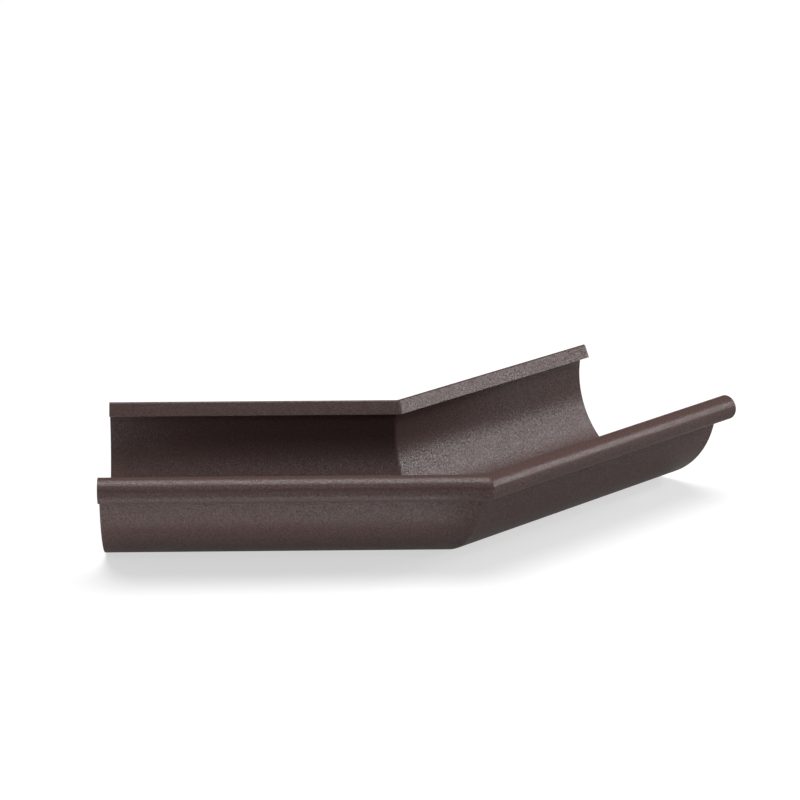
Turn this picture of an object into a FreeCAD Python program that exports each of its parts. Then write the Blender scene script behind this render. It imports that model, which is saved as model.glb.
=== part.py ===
import FreeCAD, Part
import enum
import math
import os

import Sketcher

# External corner of a half-round rain gutter: one coated steel sheet, folded round a
# soft crease. Its front edge is rolled into a hollow bead, and its back edge stands a
# little higher and is folded in to a lip. Two equal legs meet at the crease.
#
# Frame: millimetres, +Z up. The crease lies in the plane X = 0, the bead faces -Y, and
# the two open ends point to -X and +X. The origin is the middle of the underside of the
# part's box, on the floor that the two legs rest on.

# Driving dimensions: name, value in millimetres or degrees, meaning.
SIZES = (
    ("gutter_diameter", 125.0, "inside diameter of the half-round channel"),
    ("sheet_thickness", 0.6, "thickness of the coated sheet"),
    ("flank_lean", 8.0, "outward lean of the straight flank below the bead"),
    ("bead_diameter", 17.0, "outside diameter of the rolled front bead"),
    ("bead_slit", 0.5, "clearance between the bead's free edge and the flank"),
    ("back_rise", 20.6, "height of the back fold above the channel's axis"),
    ("fold_radius", 0.8, "inside bend radius of the back fold"),
    ("lip_drop", 8.7, "height from the back fold down to the lip's edge"),
    ("lip_lean", 25.0, "lean of the lip from the vertical"),
    ("leg_length", 250.0, "length of one leg along the bead, from its end to the mitre"),
    ("corner_angle", 135.0, "angle between the two legs"),
    ("crease_radius", 4.0, "bend radius of the crease between the legs"),
)

# Sizes worked out from the driving ones, written as expressions on the sheet.
HALF_TURN = "(90 - sizes.corner_angle / 2)"
CHANNEL_RADIUS = "(sizes.gutter_diameter / 2)"
OUTER_RADIUS = f"({CHANNEL_RADIUS} + sizes.sheet_thickness)"
BEAD_RADIUS = "(sizes.bead_diameter / 2)"
BEAD_REACH = f"(({CHANNEL_RADIUS} + {BEAD_RADIUS}) / cos(sizes.flank_lean))"
AXIS_LENGTH = f"(sizes.leg_length - {BEAD_REACH} * tan({HALF_TURN}))"
FOLD_HEIGHT = "(sizes.back_rise - sizes.fold_radius - sizes.sheet_thickness)"
LIP_HEIGHT = "(sizes.back_rise - sizes.lip_drop)"
CREASE_START = f"(sizes.crease_radius * sin({HALF_TURN}))"
CREASE_CENTRE = f"(sizes.crease_radius / cos({HALF_TURN}))"
BACK_EDGE = f"({AXIS_LENGTH} * sin({HALF_TURN}) + {OUTER_RADIUS} * cos({HALF_TURN}))"
BEAD_CORNER = f"(({BEAD_REACH} + {BEAD_RADIUS}) / cos({HALF_TURN}))"
FRONT_EDGE = f"({BEAD_CORNER} + sizes.crease_radius - {CREASE_CENTRE})"

NODE = "gutter_corner"
UP = FreeCAD.Vector(0, 0, 1)
FLAT_TOLERANCE = 1e-4


class Spot(enum.IntEnum):
    """The points of a sketch's edge, in the order in which constraints number them."""

    START = enum.auto()
    END = enum.auto()
    CENTRE = enum.auto()


class Axis(enum.IntEnum):
    """A sketch's own axes, as its constraints number them."""

    HORIZONTAL = -1
    VERTICAL = -2


ORIGIN_POINT = (Axis.HORIZONTAL, Spot.START)


def make_sheet(doc):
    """The spreadsheet of driving dimensions, one aliased cell each."""
    sheet = doc.addObject("Spreadsheet::Sheet", "sizes")
    for row, (name, value, meaning) in enumerate(SIZES, start=1):
        sheet.set(f"A{row}", name)
        sheet.set(f"B{row}", str(value))
        sheet.set(f"C{row}", meaning)
        sheet.setAlias(f"B{row}", name)
    doc.recompute()
    return sheet


def polar(centre, radius, degrees):
    """The point at an angle on a circle in the sketch's plane."""
    angle = math.radians(degrees)
    return centre + radius * FreeCAD.Vector(math.cos(angle), math.sin(angle), 0)


def arc(centre, radius, start, end):
    """An anticlockwise arc, its ends in degrees."""
    circle = Part.Circle(centre, UP, radius)
    return Part.ArcOfCircle(circle, math.radians(start), math.radians(end))


def constrain(sketch, rules, dimensions):
    """Add a sketch's rules and named dimensions together, then tie the dimensions to the sheet.

    A dimension is its name, the constraint at its present value, and its expression.
    """
    sketch.addConstraint(list(rules) + [constraint for _, constraint, _ in dimensions])
    for index, (name, _, expression) in enumerate(dimensions, start=len(rules)):
        sketch.renameConstraint(index, name)
        sketch.setExpression(f"Constraints.{name}", expression)


def section_outline(sheet):
    """The folded sheet's edges by name, laid out from the sheet's sizes.

    The sketch looks along the leg towards the crease: the bead is on the left, the back
    on the right, and the channel's axis is the sketch's origin. Each face of the sheet is
    a chain of tangent arcs and lines, and two short cut edges close it. The wet face lines
    the channel and goes round the outside of the bead, and the dry face is the other one.
    """
    thickness = sheet.sheet_thickness
    inner = sheet.gutter_diameter / 2
    outer = inner + thickness
    lean = sheet.flank_lean
    axis = FreeCAD.Vector(0, 0, 0)

    bead = sheet.bead_diameter / 2
    bead_axis = FreeCAD.Vector(-(inner + bead) / math.cos(math.radians(lean)), 0, 0)
    slit_cosine = (bead - thickness - sheet.bead_slit) / bead
    bead_end = 360 + lean - math.degrees(math.acos(slit_cosine))

    fold = sheet.fold_radius
    fold_height = sheet.back_rise - fold - thickness
    back_end = math.degrees(math.asin(fold_height / (inner - fold)))
    fold_axis = polar(axis, inner - fold, back_end)
    fold_end = 180 - sheet.lip_lean
    lip_top = polar(fold_axis, fold + thickness, fold_end)
    lip_height = lip_top.y - (sheet.back_rise - sheet.lip_drop)
    lip_length = lip_height / math.cos(math.radians(sheet.lip_lean))
    lip_run = polar(axis, lip_length, fold_end + 90)

    front = 180 + lean
    back = 360 + back_end
    edges = {
        "channel_wet": arc(axis, inner, front, back),
        "channel_dry": arc(axis, outer, front, back),
        "bead_wet": arc(bead_axis, bead, lean, bead_end),
        "bead_dry": arc(bead_axis, bead - thickness, lean, bead_end),
        "fold_wet": arc(fold_axis, fold, back_end, fold_end),
        "fold_dry": arc(fold_axis, fold + thickness, back_end, fold_end),
    }
    lines = {
        "flank_wet": (polar(axis, inner, front), polar(bead_axis, bead, lean)),
        "flank_dry": (polar(axis, outer, front), polar(bead_axis, bead - thickness, lean)),
        "bead_edge": (polar(bead_axis, bead, bead_end), polar(bead_axis, bead - thickness, bead_end)),
        "lip_wet": (polar(fold_axis, fold, fold_end) + lip_run, polar(fold_axis, fold, fold_end)),
        "lip_dry": (lip_top + lip_run, lip_top),
        "lip_edge": (polar(fold_axis, fold, fold_end) + lip_run, lip_top + lip_run),
    }
    edges.update((name, Part.LineSegment(*ends)) for name, ends in lines.items())
    return edges


def make_section(body, planes, sheet):
    """Sketch the true section of the folded sheet on the plane of the leg's end."""
    sketch = body.newObject("Sketcher::SketchObject", "section")
    sketch.AttachmentSupport = (planes["YZ_Plane"], [""])
    sketch.MapMode = "FlatFace"
    # The sketch's upright axis is the hinge that turns the section square to its leg.
    upright = FreeCAD.Rotation(FreeCAD.Vector(0, 1, 0), -1)
    sketch.AttachmentOffset = FreeCAD.Placement(FreeCAD.Vector(), upright)
    sketch.setExpression("AttachmentOffset.Base.x", f"{AXIS_LENGTH} * sin({HALF_TURN})")
    sketch.setExpression("AttachmentOffset.Base.z", f"-{AXIS_LENGTH} * cos({HALF_TURN})")
    sketch.setExpression("AttachmentOffset.Rotation.Angle", f"-{HALF_TURN}")

    outline = section_outline(sheet)
    edge = {name: sketch.addGeometry(shape) for name, shape in outline.items()}

    # Each face of the sheet runs smoothly from the bead to the lip, and two cut edges close it.
    smooth_joins = [
        (f"{first}_{face}", first_end, f"{second}_{face}", second_end)
        for face in ("wet", "dry")
        for first, first_end, second, second_end in (
            ("channel", Spot.START, "flank", Spot.START),
            ("flank", Spot.END, "bead", Spot.START),
            ("channel", Spot.END, "fold", Spot.START),
            ("fold", Spot.END, "lip", Spot.END),
        )
    ]
    shared_points = [
        ("bead_wet", Spot.END, "bead_edge", Spot.START),
        ("bead_dry", Spot.END, "bead_edge", Spot.END),
        ("lip_wet", Spot.START, "lip_edge", Spot.START),
        ("lip_dry", Spot.START, "lip_edge", Spot.END),
        ("channel_dry", Spot.CENTRE, "channel_wet", Spot.CENTRE),
        ("bead_wet", Spot.CENTRE, "bead_dry", Spot.CENTRE),
        ("fold_dry", Spot.CENTRE, "fold_wet", Spot.CENTRE),
    ]
    rules = [
        Sketcher.Constraint(kind, edge[first], first_end, edge[second], second_end)
        for kind, joins in (("Tangent", smooth_joins), ("Coincident", shared_points))
        for first, first_end, second, second_end in joins
    ]
    rules += [
        Sketcher.Constraint("Coincident", edge["channel_wet"], Spot.CENTRE, *ORIGIN_POINT),
        Sketcher.Constraint("PointOnObject", edge["bead_wet"], Spot.CENTRE, Axis.HORIZONTAL),
        Sketcher.Constraint("PointOnObject", edge["bead_wet"], Spot.CENTRE, edge["bead_edge"]),
        Sketcher.Constraint("Parallel", edge["lip_dry"], edge["lip_wet"]),
        Sketcher.Constraint("Perpendicular", edge["lip_edge"], edge["lip_wet"]),
    ]

    dimensions = [
        (f"{name}_radius", Sketcher.Constraint("Radius", edge[name], outline[name].Radius), expression)
        for name, expression in (
            ("channel_wet", CHANNEL_RADIUS),
            ("channel_dry", OUTER_RADIUS),
            ("bead_wet", BEAD_RADIUS),
            ("bead_dry", f"{BEAD_RADIUS} - sizes.sheet_thickness"),
            ("fold_wet", "sizes.fold_radius"),
        )
    ]
    dimensions += [
        (name, Sketcher.Constraint("Angle", edge[line], math.radians(degrees)), expression)
        for name, line, degrees, expression in (
            ("flank_angle", "flank_wet", 90 + sheet.flank_lean, "90 + sizes.flank_lean"),
            ("lip_angle", "lip_wet", 90 - sheet.lip_lean, "90 - sizes.lip_lean"),
        )
    ]
    dimensions += [
        (name, Sketcher.Constraint("DistanceY", *ORIGIN_POINT, edge[line], point, height), expression)
        for name, line, point, height, expression in (
            ("fold_height", "fold_wet", Spot.CENTRE, outline["fold_wet"].Center.y, FOLD_HEIGHT),
            ("lip_height", "lip_dry", Spot.START, outline["lip_dry"].StartPoint.y, LIP_HEIGHT),
        )
    ]
    bead_slit = float(sheet.bead_slit)
    slit = Sketcher.Constraint("Distance", edge["bead_wet"], Spot.END, edge["flank_dry"], bead_slit)
    dimensions.append(("bead_slit", slit, "sizes.bead_slit"))
    constrain(sketch, rules, dimensions)
    return sketch


def make_crease_path(body, planes, sheet):
    """Sketch the arc, seen from above, that every line of the sheet follows at the crease."""
    sketch = body.newObject("Sketcher::SketchObject", "crease_path")
    sketch.AttachmentSupport = (planes["XY_Plane"], [""])
    sketch.MapMode = "FlatFace"
    half_turn = 90 - sheet.corner_angle / 2
    radius = float(sheet.crease_radius)
    centre = FreeCAD.Vector(0, radius / math.cos(math.radians(half_turn)), 0)
    bend = arc(centre, radius, 270 - half_turn, 270 + half_turn)
    edge = sketch.addGeometry(bend)
    rules = [
        Sketcher.Constraint("PointOnObject", edge, Spot.CENTRE, Axis.VERTICAL),
        Sketcher.Constraint("Symmetric", edge, Spot.START, edge, Spot.END, Axis.VERTICAL),
    ]
    width = bend.EndPoint.x - bend.StartPoint.x
    bend_radius = Sketcher.Constraint("Radius", edge, radius)
    bend_centre = Sketcher.Constraint("DistanceY", *ORIGIN_POINT, edge, Spot.CENTRE, centre.y)
    bend_width = Sketcher.Constraint("DistanceX", edge, Spot.START, edge, Spot.END, width)
    dimensions = [
        ("bend_radius", bend_radius, "sizes.crease_radius"),
        ("bend_centre", bend_centre, CREASE_CENTRE),
        ("bend_width", bend_width, f"2 * {CREASE_START}"),
    ]
    constrain(sketch, rules, dimensions)
    return sketch


def slanted_face(leg, plane):
    """The name of the leg's face that lies on the plane where the crease starts."""
    height = plane.Placement.Base.x
    for index, face in enumerate(leg.Shape.Faces, start=1):
        box = face.BoundBox
        if max(abs(box.XMin - height), abs(box.XMax - height)) < FLAT_TOLERANCE:
            return f"Face{index}"
    raise RuntimeError("the leg has no face at the crease")


def make_corner(doc, sheet):
    """The whole corner as one body: a leg, the crease and the leg's mirror image."""
    body = doc.addObject("PartDesign::Body", NODE)
    body.Label = NODE
    planes = {feature.Role: feature for feature in body.Origin.OriginFeatures}

    crease_start = body.newObject("PartDesign::Plane", "crease_start")
    crease_start.AttachmentSupport = (planes["YZ_Plane"], [""])
    crease_start.MapMode = "FlatFace"
    crease_start.setExpression("AttachmentOffset.Base.z", f"-{CREASE_START}")

    leg = body.newObject("PartDesign::Pad", "leg")
    leg.Profile = make_section(body, planes, sheet)
    leg.Type = "UpToFace"
    leg.UpToFace = (crease_start, [""])
    doc.recompute()

    # The leg's slanted end face is carried round the bend without turning, so both faces
    # of the sheet keep the crease's radius from the bead to the lip.
    crease = body.newObject("PartDesign::AdditivePipe", "crease")
    crease.Profile = (leg, [slanted_face(leg, crease_start)])
    crease.Spine = (make_crease_path(body, planes, sheet), ["Edge1"])
    crease.Mode = "Fixed"
    doc.recompute()

    mirrored = body.newObject("PartDesign::Mirrored", "second_leg")
    mirrored.Originals = [leg]
    mirrored.MirrorPlane = (planes["YZ_Plane"], [""])
    body.Tip = mirrored

    body.setExpression("Placement.Base.y", f"({FRONT_EDGE} - {BACK_EDGE}) / 2")
    body.setExpression("Placement.Base.z", OUTER_RADIUS)
    doc.recompute()
    return body


def main():
    """Build the document, check every object and write the part."""
    doc = FreeCAD.newDocument("gutter_external_corner")
    sheet = make_sheet(doc)
    body = make_corner(doc, sheet)
    for item in doc.Objects:
        if "Invalid" in item.State or "Error" in item.State:
            raise RuntimeError(f"{item.Name} failed: {item.State}")
    shape = body.Shape
    if shape.isNull() or not shape.isValid() or len(shape.Solids) != 1:
        raise RuntimeError(f"{NODE} isn't one valid solid")
    os.makedirs("parts", exist_ok=True)
    shape.exportStep(f"parts/{body.Label}.step")
    box = shape.optimalBoundingBox()
    size = f"{box.XLength:.2f} x {box.YLength:.2f} x {box.ZLength:.2f} mm"
    print(f"{body.Label}: {size}, {shape.Volume:.1f} mm3")


main()
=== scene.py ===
"""External corner of a half-round rain gutter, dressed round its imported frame.

Lengths are in metres and angles in degrees, in the frame's own axes: +Z is up, the crease
lies in the plane X = 0, the rolled bead faces -Y, and the open ends point to -X and +X.
"""

import logging
import math
from dataclasses import dataclass, field
from enum import Enum
from typing import Any, Mapping, Optional, Sequence, Union

import bpy
import numpy as np
from mathutils import Euler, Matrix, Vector


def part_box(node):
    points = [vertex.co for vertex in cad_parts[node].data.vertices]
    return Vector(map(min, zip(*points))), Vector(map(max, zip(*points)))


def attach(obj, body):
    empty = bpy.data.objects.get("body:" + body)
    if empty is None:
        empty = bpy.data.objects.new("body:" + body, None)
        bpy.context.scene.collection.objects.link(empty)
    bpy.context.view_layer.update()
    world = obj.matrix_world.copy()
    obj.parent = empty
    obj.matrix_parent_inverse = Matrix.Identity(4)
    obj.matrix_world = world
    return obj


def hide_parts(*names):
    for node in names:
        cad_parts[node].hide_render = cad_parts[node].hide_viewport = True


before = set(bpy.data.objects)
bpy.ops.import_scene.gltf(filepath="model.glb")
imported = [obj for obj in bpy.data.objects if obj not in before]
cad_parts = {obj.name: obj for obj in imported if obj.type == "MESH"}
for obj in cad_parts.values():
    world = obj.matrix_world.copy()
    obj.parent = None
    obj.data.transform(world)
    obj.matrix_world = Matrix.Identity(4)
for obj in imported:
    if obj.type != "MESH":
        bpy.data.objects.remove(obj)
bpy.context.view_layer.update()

LOG = logging.getLogger("gutter_corner")
NODE = "gutter_corner"
BODY = "root"
IMAGE_WIDTH = 800


class Side(Enum):
    """The two legs, named by the side of the crease that they lie on."""

    LEFT = -1
    RIGHT = 1


class Tone(Enum):
    """Plain colours of the studio, as linear red, green and blue."""

    WHITE = (1.0, 1.0, 1.0, 1.0)
    PALE = (0.36, 0.36, 0.36, 1.0)


class Shade:
    """One value of a shader, on which Python's operators add Math nodes."""

    def __init__(self, paint: "Paint", socket: bpy.types.NodeSocket) -> None:
        """Wrap a socket of the tree that paint builds."""
        self.paint = paint
        self.socket = socket

    def maths(self, operation: str, first: "Operand", second: "Operand") -> "Shade":
        """Add a Math node.

        Args:
            operation: the Math node's operation.
            first: its first value.
            second: its second value.

        Returns:
            The node's result.
        """
        return self.paint.value("ShaderNodeMath", {"operation": operation}, {0: first, 1: second})

    def __add__(self, other: "Operand") -> "Shade":
        """This value plus another."""
        return self.maths("ADD", self, other)

    def __radd__(self, other: "Operand") -> "Shade":
        """A number plus this value."""
        return self.maths("ADD", other, self)

    def __sub__(self, other: "Operand") -> "Shade":
        """This value less another."""
        return self.maths("SUBTRACT", self, other)

    def __rsub__(self, other: "Operand") -> "Shade":
        """A number less this value."""
        return self.maths("SUBTRACT", other, self)

    def __mul__(self, other: "Operand") -> "Shade":
        """This value times another."""
        return self.maths("MULTIPLY", self, other)

    def __rmul__(self, other: "Operand") -> "Shade":
        """A number times this value."""
        return self.maths("MULTIPLY", other, self)

    def at_most(self, other: "Operand") -> "Shade":
        """The lesser of this value and another."""
        return self.maths("MINIMUM", self, other)

    def at_least(self, other: "Operand") -> "Shade":
        """The greater of this value and another."""
        return self.maths("MAXIMUM", self, other)


Operand = Union[Shade, float]


class Paint:
    """A node tree under construction, and the one way in which nodes are added to it."""

    FIRST_COLOUR, SECOND_COLOUR, MIXED_COLOUR = 6, 7, 2

    def __init__(self, tree: bpy.types.NodeTree) -> None:
        """Start from an empty tree."""
        self.tree = tree
        tree.nodes.clear()

    def node(
        self,
        kind: str,
        settings: Optional[Mapping[str, Any]] = None,
        sockets: Optional[Mapping[Union[str, int], Any]] = None,
    ) -> bpy.types.Node:
        """Add a node.

        Args:
            kind: the node's type.
            settings: its properties, which are set before its sockets.
            sockets: a plain value, a Shade or an output socket for each named or numbered input.

        Returns:
            The node.
        """
        made = self.tree.nodes.new(kind)
        for name, value in (settings or {}).items():
            setattr(made, name, value)
        for name, value in (sockets or {}).items():
            source = value.socket if isinstance(value, Shade) else value
            if isinstance(source, bpy.types.NodeSocket):
                self.tree.links.new(source, made.inputs[name])
            else:
                made.inputs[name].default_value = source
        return made

    def value(
        self,
        kind: str,
        settings: Optional[Mapping[str, Any]] = None,
        sockets: Optional[Mapping[Union[str, int], Any]] = None,
        output: Union[str, int] = 0,
    ) -> Shade:
        """Add a node and wrap one of its outputs.

        Args:
            kind: the node's type.
            settings: its properties.
            sockets: its inputs.
            output: the name or number of the output.

        Returns:
            That output as a Shade.
        """
        return Shade(self, self.node(kind, settings, sockets).outputs[output])

    def blend(self, share: Shade, first: Any, second: Any) -> bpy.types.NodeSocket:
        """Mix two colours.

        Args:
            share: the second colour's share.
            first: a colour, or the socket of one.
            second: a colour, or the socket of one.

        Returns:
            The mixed colour's socket.
        """
        sockets = {"Factor": share, self.FIRST_COLOUR: first, self.SECOND_COLOUR: second}
        mix = self.node("ShaderNodeMix", {"data_type": "RGBA"}, sockets)
        return mix.outputs[self.MIXED_COLOUR]

    def seen_plainly(self) -> Shade:
        """1 for rays from the camera, a mirror or a glass, 0 for the light that falls on things."""
        rays = self.node("ShaderNodeLightPath").outputs
        names = ("Is Camera Ray", "Is Glossy Ray", "Is Transmission Ray")
        camera, glossy, through = (Shade(self, rays[name]) for name in names)
        return (camera + glossy + through).at_most(1.0)


@dataclass(frozen=True)
class GrainedCoat:
    """Matte brown coil coating with fine bright flakes in its grain, and bare zinc-grey cut edges.

    Attributes:
        name: the material's name.
        brown: the coating's colour on the grain's tops, linear.
        hollow: its colour in the grain's hollows.
        flake: the colour of its flakes.
        zinc: the colour of the sheet where it is cut.
        roughness: roughness of the brown pigment.
        pigment_gloss: specular level of the pigment.
        flake_roughness: roughness of the flakes.
        flake_share: share of the surface that is flake where flakes are densest.
        flake_mean: how dense they are in the mean.
        flake_contrast: how strongly the grain's height decides where they are.
        grain_pitch: the distance between two grains.
        grain_height: how far the grain stands up.
        grain_octaves: octaves of finer waves in the grain.
        fine_waves: waves of the fine noise to one grain.
        fine_share: the fine noise's share of the grain's height.
        fine_octaves: octaves of finer waves in the fine noise.
        broad_waves: waves to the metre of the broad noise.
        broad_octaves: octaves of finer waves in the broad noise.
        octave_strength: strength of each octave beside the one before it.
        noise_mean: a noise's value in the mean.
        roughness_drift: how far the broad noise moves the pigment's roughness.
        bare_polish: how much smoother a cut edge is.
    """

    name: str = "grained_brown_coat"
    brown: tuple[float, float, float, float] = (0.076, 0.0455, 0.0415, 1.0)
    hollow: tuple[float, float, float, float] = (0.072, 0.0430, 0.0392, 1.0)
    flake: tuple[float, float, float, float] = (0.80, 0.80, 0.80, 1.0)
    zinc: tuple[float, float, float, float] = (0.42, 0.43, 0.44, 1.0)
    roughness: float = 0.5
    pigment_gloss: float = 0.02
    flake_roughness: float = 0.28
    flake_share: float = 0.056
    flake_mean: float = 0.45
    flake_contrast: float = 3.0
    grain_pitch: float = 0.00095
    grain_height: float = 0.00016
    grain_octaves: float = 2.0
    fine_waves: float = 3.0
    fine_share: float = 0.25
    fine_octaves: float = 1.0
    broad_waves: float = 18.0
    broad_octaves: float = 2.0
    octave_strength: float = 0.55
    noise_mean: float = 0.5
    roughness_drift: float = 0.1
    bare_polish: float = 0.2

    def material(self) -> bpy.types.Material:
        """Build the material.

        Returns:
            A material on Object coordinates. Two noises, one of the grain's pitch and one of
            a third of it, are added to the grain's height. The height tilts the normal
            through a Bump node, moves the colour a little, and decides, by its distance
            from the mean times the contrast, how much of each grain is flake. Flakes are
            mixed in as metal, so that they glint alike from all sides. A broad third noise
            moves the pigment's roughness, and the attribute "bare" turns the coating to
            zinc on cut edges.
        """
        made = bpy.data.materials.new(self.name)
        made.use_nodes = True
        paint = Paint(made.node_tree)
        place = paint.node("ShaderNodeTexCoord").outputs["Object"]
        grain = self.noise(paint, place, 1.0 / self.grain_pitch, self.grain_octaves)
        fine = self.noise(paint, place, self.fine_waves / self.grain_pitch, self.fine_octaves)
        broad = self.noise(paint, place, self.broad_waves, self.broad_octaves)
        height = grain * (1.0 - self.fine_share) + fine * self.fine_share
        drift = (broad - self.noise_mean) * self.roughness_drift
        density = (height - self.noise_mean) * self.flake_contrast + self.flake_mean
        density = density.at_least(0.0).at_most(1.0)
        bare = paint.value("ShaderNodeAttribute", {"attribute_name": "bare"}, output="Fac")
        coat = paint.blend(density, self.hollow, self.brown)
        relief = paint.node(
            "ShaderNodeBump",
            sockets={"Strength": 1.0, "Distance": self.grain_height, "Height": height},
        )
        pigment = paint.node(
            "ShaderNodeBsdfPrincipled",
            sockets={
                "Base Color": paint.blend(bare, coat, self.zinc),
                "Roughness": self.roughness + drift - bare * self.bare_polish,
                "Metallic": bare,
                "Specular IOR Level": self.pigment_gloss,
                "Normal": relief.outputs["Normal"],
            },
        )
        flakes = paint.node(
            "ShaderNodeBsdfPrincipled",
            sockets={
                "Base Color": self.flake,
                "Roughness": self.flake_roughness,
                "Metallic": 1.0,
                "Normal": relief.outputs["Normal"],
            },
        )
        share = density * self.flake_share * (1.0 - bare)
        surface = paint.node(
            "ShaderNodeMixShader",
            sockets={0: share, 1: pigment.outputs[0], 2: flakes.outputs[0]},
        )
        paint.node("ShaderNodeOutputMaterial", sockets={"Surface": surface.outputs[0]})
        return made

    def noise(
        self, paint: Paint, place: bpy.types.NodeSocket, scale: float, detail: float
    ) -> Shade:
        """A noise in space.

        Args:
            paint: the tree to add it to.
            place: the coordinates that it reads.
            scale: waves to the metre.
            detail: octaves of finer waves.

        Returns:
            Its value, about 0.5 in the mean.
        """
        sockets = {
            "Vector": place,
            "Scale": scale,
            "Detail": detail,
            "Roughness": self.octave_strength,
        }
        return paint.value("ShaderNodeTexNoise", sockets=sockets)


@dataclass(frozen=True)
class SheetLine:
    """A line along the sheet, midway between its faces, seen from a leg's end.

    Attributes:
        points: (n, 2) distances out towards the bead and up from the channel's axis.
        normals: (n, 2) unit vectors towards the wet face.
        half: (n,) half the sheet's thickness there, less where a cut edge is rounded.
        bare: (n,) 1 on a cut edge and 0 on the coated sheet.
    """

    points: np.ndarray
    normals: np.ndarray
    half: np.ndarray
    bare: np.ndarray


@dataclass(frozen=True)
class SheetSection:
    """The folded sheet's section, from the bead's free edge to the lip's.

    Attributes:
        channel_radius: inside radius of the half-round channel.
        thickness: the sheet's thickness.
        flank_lean: outward lean of the flank below the bead.
        bead_radius: outside radius of the bead.
        bead_slit: clearance between the bead's free edge and the flank.
        back_rise: height of the back fold above the channel's axis.
        fold_radius: inside radius of the back fold.
        lip_drop: height from the back fold down to the lip's edge.
        lip_lean: lean of the lip from the vertical.
        edge_radius: rounding of the cut edges.
        edge_support: where the flat sheet starts behind a rounded edge.
        edge_steps: points round a cut edge's rounding.
        bead_steps: points round the bead.
        flank_steps: points down the flank, with those of its neighbours.
        channel_steps: points round the channel.
        fold_steps: points round the back fold.
        lip_steps: points down the lip.
    """

    channel_radius: float = 0.0625
    thickness: float = 0.0006
    flank_lean: float = 8.0
    bead_radius: float = 0.0085
    bead_slit: float = 0.0005
    back_rise: float = 0.0206
    fold_radius: float = 0.0008
    lip_drop: float = 0.0087
    lip_lean: float = 25.0
    edge_radius: float = 0.00012
    edge_support: float = 0.0004
    edge_steps: int = 5
    bead_steps: int = 110
    flank_steps: int = 8
    channel_steps: int = 210
    fold_steps: int = 28
    lip_steps: int = 7

    @property
    def bead_reach(self) -> float:
        """Distance between the bead's and the channel's axes: the flank touches both circles."""
        return (self.channel_radius + self.bead_radius) / math.cos(math.radians(self.flank_lean))

    def rounding(self) -> tuple[np.ndarray, np.ndarray, np.ndarray]:
        """Quarter circle that rounds a cut edge.

        Returns:
            For each step round it: the distance in from the cut, r (1 - cos t), the inset of
            each face, r (1 - sin t), and how bare the sheet is, cos t.
        """
        turn = np.linspace(0.0, 0.5 * math.pi, self.edge_steps)
        cosine, sine = np.cos(turn), np.sin(turn)
        return self.edge_radius * (1.0 - cosine), self.edge_radius * (1.0 - sine), cosine

    @staticmethod
    def round_out(degrees: np.ndarray) -> np.ndarray:
        """Unit vectors at angles from the back, by way of the top: (-cos, sin)."""
        angle = np.radians(degrees)
        return np.stack((-np.cos(angle), np.sin(angle)), axis=-1)

    def line(self) -> SheetLine:
        """Follow the sheet from the bead's free edge to the lip's.

        Each bend is a circle's points, centre + radius * (-cos t, sin t), at the radius midway
        between the faces, and each flat is a straight row of points between two bends.

        Returns:
            The line, with the two cut edges rounded.
        """
        middle = 0.5 * self.thickness
        lean = self.flank_lean
        inset_at, inset, bare = self.rounding()

        bead_line = self.bead_radius - middle
        slit = (self.bead_radius - self.thickness - self.bead_slit) / self.bead_radius
        bead_end = 360.0 + lean - math.degrees(math.acos(slit))
        edge_turns = bead_end - np.degrees(inset_at / bead_line)
        bead_start = bead_end - math.degrees(self.edge_support / bead_line)
        round_bead = np.linspace(bead_start, lean, self.bead_steps)
        bead_turns = np.concatenate((edge_turns, round_bead))
        bead_out = self.round_out(bead_turns)
        bead = np.array((self.bead_reach, 0.0)) + bead_line * bead_out

        inner = self.channel_radius - self.fold_radius
        fold_height = self.back_rise - self.fold_radius - self.thickness
        back_end = math.degrees(math.asin(fold_height / inner))
        channel_turns = np.linspace(180.0 + lean, 360.0 + back_end, self.channel_steps)
        channel_out = self.round_out(channel_turns)
        channel = (self.channel_radius + middle) * channel_out

        down_flank = np.linspace(0.0, 1.0, self.flank_steps)[1:-1, None]
        flank = bead[-1] + down_flank * (channel[0] - bead[-1])
        flank_normal = np.broadcast_to(bead_out[-1], flank.shape)

        fold_turns = np.linspace(back_end, 180.0 - self.lip_lean, self.fold_steps)
        fold_out = self.round_out(fold_turns)[1:]
        fold_axis = inner * self.round_out(np.array(back_end))
        fold = fold_axis + (self.fold_radius + middle) * fold_out

        lip_top = fold_axis[1] + (self.fold_radius + self.thickness) * fold_out[-1, 1]
        lip_height = lip_top - (self.back_rise - self.lip_drop)
        lip_length = lip_height / math.cos(math.radians(self.lip_lean))
        lip_way = self.round_out(np.array(270.0 - self.lip_lean))
        flat = np.linspace(0.0, lip_length - self.edge_support, self.lip_steps)[1:]
        down_lip = np.concatenate((flat, lip_length - inset_at[::-1]))
        lip = fold[-1] + down_lip[:, None] * lip_way
        lip_normal = np.broadcast_to(-fold_out[-1], lip.shape)

        points = np.concatenate((bead, flank, channel, fold, lip))
        normals = np.concatenate((bead_out, flank_normal, -channel_out, -fold_out, lip_normal))
        plain = np.zeros(len(points) - 2 * len(inset))
        return SheetLine(
            points=points,
            normals=normals,
            half=middle - np.concatenate((inset, plain, inset[::-1])),
            bare=np.concatenate((bare, plain, bare[::-1])),
        )


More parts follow.
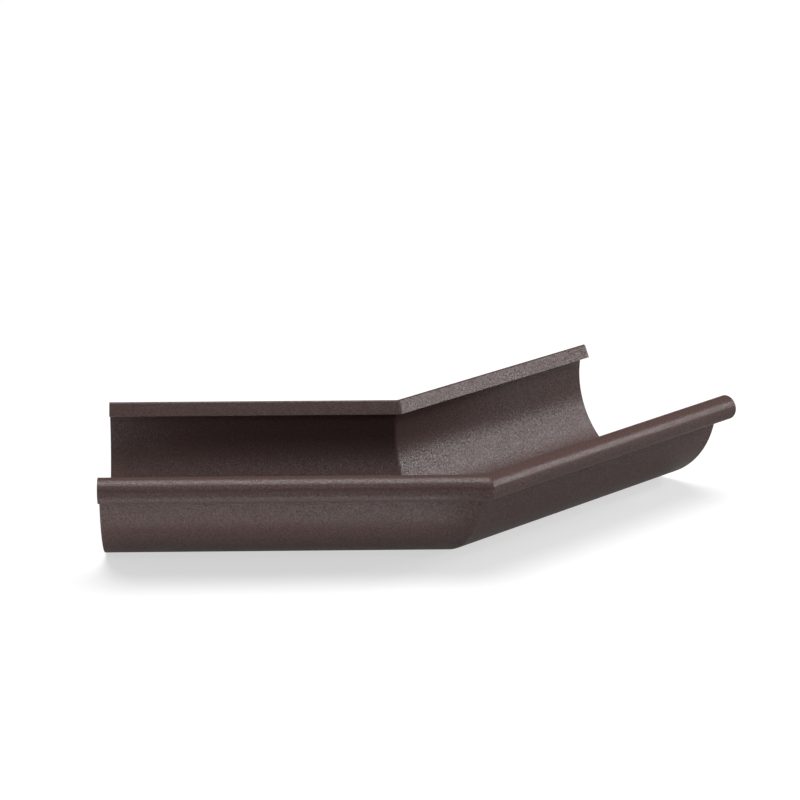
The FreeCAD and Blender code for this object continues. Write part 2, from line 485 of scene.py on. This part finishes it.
@dataclass
class GutterCorner:
    """The whole corner: one folded sheet, carried along two legs and round their soft crease.

    Attributes:
        section: the sheet's section.
        leg_length: length of a leg along the bead, from its end to the mitre.
        corner_angle: angle between the legs.
        crease_radius: bend radius of the crease.
        coat: the finish.
        size_slack: how far the mesh's box may lie from the frame's.
        leg_stations: loops along a leg, between those that hold its two ends.
        first_share: share of a leg that lies beyond the first of them.
        last_share: share of a leg that lies beyond the last of them.
        crease_stations: loops round the crease, with those of its neighbours.
    """

    section: SheetSection = field(default_factory=SheetSection)
    leg_length: float = 0.250
    corner_angle: float = 135.0
    crease_radius: float = 0.004
    coat: GrainedCoat = field(default_factory=GrainedCoat)
    size_slack: float = 0.0002
    leg_stations: int = 12
    first_share: float = 0.97
    last_share: float = 0.06
    crease_stations: int = 26

    def __post_init__(self) -> None:
        """Work out the lengths that follow from the sizes."""
        section = self.section
        turn = math.radians(90.0 - 0.5 * self.corner_angle)
        self.turn = turn
        self.sine, self.cosine = math.sin(turn), math.cos(turn)
        self.axis_length = self.leg_length - section.bead_reach * math.tan(turn)
        self.axis_height = section.channel_radius + section.thickness
        bead_corner = (section.bead_reach + section.bead_radius) / self.cosine
        front = bead_corner + self.crease_radius - self.crease_radius / self.cosine
        back = self.axis_length * self.sine + self.axis_height * self.cosine
        self.axis_crossing = 0.5 * (front - back)

    def loops(self, line: SheetLine, inset: np.ndarray) -> tuple[np.ndarray, np.ndarray]:
        """Close the sheet's line to a loop at each station.

        Args:
            line: the sheet's line, of n points.
            inset: (m,) how far both faces are drawn in at each station.

        Returns:
            (m, 2n) distances out and up: the wet face, middle + normal * half thickness, and
            then the dry face, middle - normal * half thickness, backwards.
        """
        half = line.half[None, :] - inset[:, None]
        faces = [
            np.concatenate(
                (
                    line.points[:, part] + line.normals[:, part] * half,
                    (line.points[:, part] - line.normals[:, part] * half)[:, ::-1],
                ),
                axis=1,
            )
            for part in (0, 1)
        ]
        return faces[0], faces[1]

    def leg(self, side: Side, line: SheetLine) -> tuple[np.ndarray, np.ndarray]:
        """Carry the section along one leg, from the crease's start to the open end.

        A point at s along the leg and a out lies at x = s cos h + a sin h and
        y = s sin h - a cos h from the crossing of the axes, h being half the turn. The crease
        starts at x = r sin h, so there s = (r sin h - a sin h) / cos h, and the leg ends
        at the axis's length. Stations between them are shares of that way.

        Args:
            side: which leg.
            line: the sheet's line.

        Returns:
            (m, 2n, 3) points and (m,) how bare each station is.
        """
        inset_at, inset, bare = self.section.rounding()
        support = self.section.edge_support
        between = np.linspace(self.first_share, self.last_share, self.leg_stations)
        shares = np.concatenate(((1.0, 1.0), between, np.zeros(1 + len(inset))))
        on_leg = np.zeros(self.leg_stations)
        ends = np.concatenate(((0.0, support), on_leg, (-support,), -inset_at[::-1]))
        plain = np.zeros(len(shares) - len(inset))
        out, up = self.loops(line, np.concatenate((plain, inset[::-1])))
        start = (self.crease_radius - out) * self.sine / self.cosine
        along = self.axis_length + shares[:, None] * (start - self.axis_length) + ends[:, None]
        x = side.value * (along * self.cosine + out * self.sine)
        y = self.axis_crossing + along * self.sine - out * self.cosine
        points = np.stack((x, y, self.axis_height + up), axis=-1)
        return points, np.concatenate((plain, bare[::-1]))

    def crease(self, line: SheetLine) -> tuple[np.ndarray, np.ndarray]:
        """Carry the section round the crease without turning it.

        Every line of the sheet has a corner at x = 0, y = -a / cos h, rounded by the same arc:
        x = r sin t, y = corner + r / cos h - r cos t, for t between -h and h.

        Args:
            line: the sheet's line.

        Returns:
            (m, 2n, 3) points between the legs' first stations and (m,) zeros.
        """
        bend = np.linspace(-self.turn, self.turn, self.crease_stations)[1:-1]
        plain = np.zeros(len(bend))
        out, up = self.loops(line, plain)
        radius = self.crease_radius
        x = np.broadcast_to(radius * np.sin(bend)[:, None], out.shape)
        corner = self.axis_crossing + (radius - out) / self.cosine
        y = corner - radius * np.cos(bend)[:, None]
        return np.stack((x, y, self.axis_height + up), axis=-1), plain

    @staticmethod
    def quads(stations: int, loop: int) -> np.ndarray:
        """Join the stations' loops and close the two ends.

        Args:
            stations: how many loops.
            loop: points in a loop, the wet face's first.

        Returns:
            (q, 4) corner numbers, facing out. The wall's quads join each point to the next
            point and the next station, and an end's quads join the two faces.
        """
        row = np.arange(loop)
        after = np.roll(row, -1)
        base = (np.arange(stations - 1) * loop)[:, None]
        on = base + loop
        wall = np.stack((base + row, base + after, on + after, on + row), axis=-1)
        wet = np.arange(loop // 2 - 1)
        dry = loop - 1 - wet
        cap = np.stack((wet, dry, dry - 1, wet + 1), axis=-1)
        far = (stations - 1) * loop + cap[:, ::-1]
        return np.concatenate((wall.reshape(-1, 4), cap, far))

    def build(self) -> bpy.types.Object:
        """Make the sheet's mesh and set it in the frame.

        Returns:
            The closed mesh, which stands for the frame's node and rides on its body.
        """
        line = self.section.line()
        left, left_bare = self.leg(Side.LEFT, line)
        bend, bend_bare = self.crease(line)
        right, right_bare = self.leg(Side.RIGHT, line)
        points = np.concatenate((left[::-1], bend, right))
        station_bare = np.concatenate((left_bare[::-1], bend_bare, right_bare))
        loop_bare = np.concatenate((line.bare, line.bare[::-1]))
        bare = np.maximum(station_bare[:, None], loop_bare[None, :])

        mesh = bpy.data.meshes.new("gutter_corner_sheet")
        faces = self.quads(points.shape[0], points.shape[1])
        mesh.from_pydata(points.reshape(-1, 3).tolist(), [], faces.tolist())
        mesh.attributes.new("bare", "FLOAT", "POINT")
        mesh.attributes["bare"].data.foreach_set("value", bare.astype(np.float32).ravel())
        mesh.polygons.foreach_set("use_smooth", np.ones(len(faces), dtype=bool))
        mesh.update()
        piece = bpy.data.objects.new("gutter_corner_sheet", mesh)
        bpy.context.scene.collection.objects.link(piece)
        self.compare(points.reshape(-1, 3))
        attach(piece, BODY)
        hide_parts(NODE)
        return piece

    def compare(self, points: np.ndarray) -> None:
        """Stop if the mesh's box isn't the node's.

        Args:
            points: (n, 3) the mesh's points.
        """
        low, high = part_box(NODE)
        apart = max(np.abs(points.min(0) - low).max(), np.abs(points.max(0) - high).max())
        if apart > self.size_slack:
            raise RuntimeError(f"the sheet's box is {apart * 1000:.2f} mm from the frame's")

    def dress(self, piece: bpy.types.Object) -> None:
        """Give the sheet its coating."""
        piece.data.materials.append(self.coat.material())


@dataclass(frozen=True)
class Lamp:
    """A soft lamp that shines on the object from one side.

    Attributes:
        name: what the lamp does.
        azimuth: its bearing from the object, in degrees from -Y towards +X.
        elevation: its height above the floor, in degrees.
        power: watts, or watts to the square metre for a lamp that lights the whole room.
    """

    name: str
    azimuth: float
    elevation: float
    power: float

    def data(self) -> bpy.types.Light:
        """The lamp's own settings, which each kind of lamp makes."""
        raise NotImplementedError

    def away(self) -> Vector:
        """Where the lamp hangs, as seen from the object; far off, the direction alone counts."""
        bearing, rise = math.radians(self.azimuth), math.radians(self.elevation)
        level = math.cos(rise)
        return Vector((math.sin(bearing) * level, -math.cos(bearing) * level, math.sin(rise)))

    def turned(self) -> Euler:
        """How the lamp is turned: it shines on the middle of the object."""
        return self.away().to_track_quat("Z", "Y").to_euler()

    def build(self) -> bpy.types.Object:
        """Hang the lamp.

        Returns:
            The lamp, which stays out of the picture.
        """
        lamp = self.data()
        lamp.energy = self.power
        made = bpy.data.objects.new(self.name, lamp)
        made.location = self.away()
        made.rotation_euler = self.turned()
        made.visible_camera = False
        bpy.context.scene.collection.objects.link(made)
        return made


@dataclass(frozen=True)
class Skylight(Lamp):
    """A round diffuser so far off that it lights the whole floor alike.

    Attributes:
        spread: the angle that it fills, in degrees.
    """

    spread: float

    def data(self) -> bpy.types.Light:
        """A distant lamp as wide as the diffuser."""
        lamp = bpy.data.lights.new(self.name, "SUN")
        lamp.angle = math.radians(self.spread)
        return lamp


@dataclass(frozen=True)
class Softbox(Lamp):
    """A soft rectangular lamp.

    Attributes:
        distance: how far it stands from the object.
        width: its width.
        height: its height.
    """

    distance: float
    width: float
    height: float

    def data(self) -> bpy.types.Light:
        """A lamp of the softbox's size."""
        lamp = bpy.data.lights.new(self.name, "AREA")
        lamp.shape = "RECTANGLE"
        lamp.size, lamp.size_y = self.width, self.height
        return lamp

    def away(self) -> Vector:
        """Where the softbox stands."""
        return super().away() * self.distance


@dataclass(frozen=True)
class FloorCard(Softbox):
    """A bright card that lies on the floor and lights the object from below.

    Attributes:
        bearing: where its long side faces, in degrees from -Y towards +X.
    """

    bearing: float

    def turned(self) -> Euler:
        """How the card lies: face up, with its long side turned to its bearing."""
        return Euler((math.pi, 0.0, math.radians(self.bearing)))


@dataclass(frozen=True)
class Studio:
    """Pale floor, a plain room and soft lamps.

    Attributes:
        floor_size: the floor's side.
        floor_glow: how much white the floor adds for whoever looks at it.
        room_light: strength of the room's own light.
        lamps: the soft lamps.
    """

    floor_size: float = 60.0
    floor_glow: float = 0.60
    room_light: float = 0.13
    lamps: Sequence[Lamp] = (
        Skylight("overhead_light", -24.0, 88.0, 3.0, spread=46.0),
        Softbox("right_softbox", 79.0, 32.0, 16.5, distance=2.4, width=0.6, height=0.6),
        Softbox("rim_softbox", 70.0, 18.0, 13.5, distance=2.4, width=0.45, height=0.45),
        Softbox("lip_softbox", -24.0, 36.0, 0.9, distance=1.6, width=0.12, height=0.12),
        Softbox("crease_softbox", 27.0, 29.5, 1.4, distance=1.6, width=0.14, height=0.14),
        Softbox("left_softbox", -105.0, 25.0, 2.0, distance=1.8, width=1.0, height=0.6),
        Softbox("low_left_strip", -70.0, 2.4, 0.5, distance=0.7, width=0.5, height=0.05),
        FloorCard(
            "left_floor_card",
            -69.0,
            0.6,
            0.066,
            distance=0.175,
            width=0.30,
            height=0.06,
            bearing=-22.5,
        ),
    )

    def floor(self) -> bpy.types.Object:
        """Lay the floor that the legs rest on.

        Returns:
            A pale square that keeps the object's shadow.
        """
        half = 0.5 * self.floor_size
        corners = [(-half, -half, 0.0), (half, -half, 0.0), (half, half, 0.0), (-half, half, 0.0)]
        mesh = bpy.data.meshes.new("studio_floor")
        mesh.from_pydata(corners, [], [(0, 1, 2, 3)])
        made = bpy.data.objects.new("studio_floor", mesh)
        bpy.context.scene.collection.objects.link(made)
        material = bpy.data.materials.new("pale_floor")
        material.use_nodes = True
        paint = Paint(material.node_tree)
        matte = paint.node("ShaderNodeBsdfDiffuse", sockets={"Color": Tone.PALE.value})
        glow = paint.node(
            "ShaderNodeEmission",
            sockets={"Color": Tone.WHITE.value, "Strength": paint.seen_plainly() * self.floor_glow},
        )
        both = paint.node("ShaderNodeAddShader", sockets={0: matte.outputs[0], 1: glow.outputs[0]})
        paint.node("ShaderNodeOutputMaterial", sockets={"Surface": both.outputs[0]})
        mesh.materials.append(material)
        return made

    def room(self) -> None:
        """Surround the object with weak, even light."""
        world = bpy.data.worlds.new("soft_room")
        world.use_nodes = True
        bpy.context.scene.world = world
        paint = Paint(world.node_tree)
        sockets = {"Color": Tone.WHITE.value, "Strength": self.room_light}
        light = paint.node("ShaderNodeBackground", sockets=sockets)
        paint.node("ShaderNodeOutputWorld", sockets={"Surface": light.outputs[0]})

    def build(self) -> None:
        """Set up the floor, the room and the lamps."""
        self.floor()
        self.room()
        for lamp in self.lamps:
            lamp.build()
            LOG.info("lamp %s, power %.2f", lamp.name, lamp.power)


@dataclass(frozen=True)
class PhotoCamera:
    """The camera, placed as the photograph was taken.

    Attributes:
        location: where it stands.
        bearing: the direction that it looks in, in degrees from +Y towards +X.
        tilt: how far it looks down, in degrees.
        focal_pixels: focal length in pixels of the picture.
    """

    location: tuple[float, float, float] = (-0.83460, -1.83512, 0.68839)
    bearing: float = 24.086
    tilt: float = 16.446
    focal_pixels: float = 3138.23

    def build(self) -> bpy.types.Object:
        """Set up the camera.

        Returns:
            The scene's camera.
        """
        lens = bpy.data.cameras.new("photo_camera")
        lens.lens = self.focal_pixels / IMAGE_WIDTH * lens.sensor_width
        made = bpy.data.objects.new("photo_camera", lens)
        bearing, tilt = math.radians(self.bearing), math.radians(self.tilt)
        level = math.cos(tilt)
        ahead = Vector((math.sin(bearing) * level, math.cos(bearing) * level, -math.sin(tilt)))
        made.location = self.location
        made.rotation_euler = ahead.to_track_quat("-Z", "Y").to_euler()
        bpy.context.scene.collection.objects.link(made)
        bpy.context.scene.camera = made
        return made


def main() -> None:
    """Build the corner, dress it, and set up the studio and the camera."""
    logging.basicConfig(level=logging.INFO, format="%(name)s: %(message)s")
    bpy.context.scene.view_settings.view_transform = "Standard"
    corner = GutterCorner()
    piece = corner.build()
    corner.dress(piece)
    LOG.info("piece %s, %d faces", piece.name, len(piece.data.polygons))
    Studio().build()
    PhotoCamera().build()


if __name__ == "__main__":
    main()
